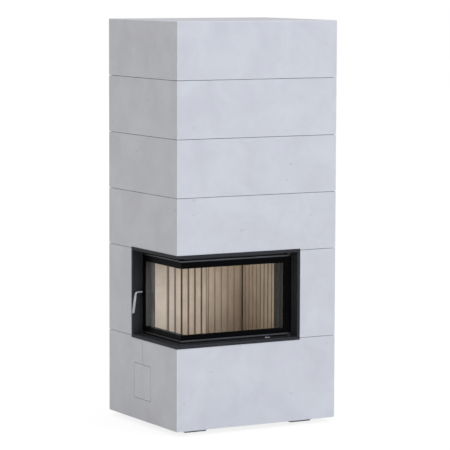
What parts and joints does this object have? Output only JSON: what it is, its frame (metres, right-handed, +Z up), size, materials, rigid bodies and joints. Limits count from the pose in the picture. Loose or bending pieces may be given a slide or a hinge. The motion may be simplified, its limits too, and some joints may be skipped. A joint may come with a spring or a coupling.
{
  "type": "corner stove",
  "caption": "Tall wood-fired corner stove: a steel insert with an L-shaped glazed door and ribbed firebrick lining, set in a tower of stacked concrete blocks with rear flue and air sleeves.",
  "frame": {"origin": "middle of the tower's footprint, on the floor under the feet", "axes": "+Z up, front face towards -Y, +X to the right seen from the front, so the glazed corner is at -X -Y"},
  "size_m": [0.966, 0.7725, 2.13],
  "materials": {
    "concrete": "matte",
    "foot_pad": "matte",
    "surround_steel": "satin",
    "door_steel": "satin",
    "jamb_steel": "satin",
    "casing_steel": "matte",
    "zinc_steel": "satin",
    "stainless": "satin",
    "cast_hood": "matte",
    "fireclay": "matte",
    "store_stone": "matte",
    "rope_seal": "matte",
    "glass": "gloss"
  },
  "bodies": {
    "tower": {"access_frame": "zinc_steel", "air_box": "casing_steel", "air_duct": "zinc_steel", "air_sleeve": "zinc_steel", "baffle_plate": "fireclay", "base_floor": "concrete", "base_front_shell": "concrete", "base_rear_shell": "concrete", "door_jamb": "jamb_steel", "firebox_casing": "casing_steel", "firebox_hood": "cast_hood", "flue_collector": "casing_steel", "flue_pipe": "casing_steel", "flue_sleeve": "zinc_steel", "foot_front_left": "foot_pad", "foot_front_right": "foot_pad", "foot_rear_left": "foot_pad", "foot_rear_right": "foot_pad", "hearth_back_panel": "concrete", "hearth_floor": "fireclay", "hearth_left_block": "concrete", "hearth_right_block": "concrete", "hinge_bracket_lower": "jamb_steel", "hinge_bracket_upper": "jamb_steel", "latch_keeper": "zinc_steel", "leg_front_left": "zinc_steel", "leg_front_right": "zinc_steel", "leg_rear_left": "zinc_steel", "leg_rear_right": "zinc_steel", "lining_back_left": "fireclay", "lining_back_plain": "fireclay", "lining_back_right": "fireclay", "lining_post": "jamb_steel", "lining_right_front": "fireclay", "lining_right_rear": "fireclay", "lintel_angle": "zinc_steel", "ring_1_back": "concrete", "ring_1_shell": "concrete", "ring_2_back": "concrete", "ring_2_shell": "concrete", "ring_3_back": "concrete", "ring_3_shell": "concrete", "ring_4_back": "concrete", "ring_4_shell": "concrete", "store_block_1": "store_stone", "store_block_2": "store_stone", "surround_frame": "surround_steel", "top_slab": "concrete"},
    "door": {"door_frame": "door_steel", "glass_front": "glass", "glass_side": "glass", "door_seal": "rope_seal", "hinge_pin_lower": "stainless", "hinge_pin_upper": "stainless"},
    "handle": {"handle_rod": "stainless", "handle_grip": "stainless", "latch_cam": "zinc_steel"},
    "access_cover": {"access_cover": "concrete"},
    "air_control": {"air_lever": "stainless", "air_shutter": "zinc_steel"}
  },
  "joints": [
    {"name": "door_swing", "type": "hinge", "parent": "tower", "child": "door", "pos_m": [0.225, -0.322, 0.697], "axis": [0, 0, 1], "range_deg": [0, 90]},
    {"name": "handle_turn", "type": "hinge", "parent": "door", "child": "handle", "pos_m": [-0.411, 0.084, 0.697], "axis": [-1, 0, 0], "range_deg": [0, 75]},
    {"name": "air_slide", "type": "slide", "parent": "tower", "child": "air_control", "axis": [1, 0, 0], "range_m": [-0.04, 0.04]},
    {"name": "cover_lift_out", "type": "slide", "parent": "tower", "child": "access_cover", "axis": [-1, 0, 0], "range_m": [0, 0.15]}
  ]
}
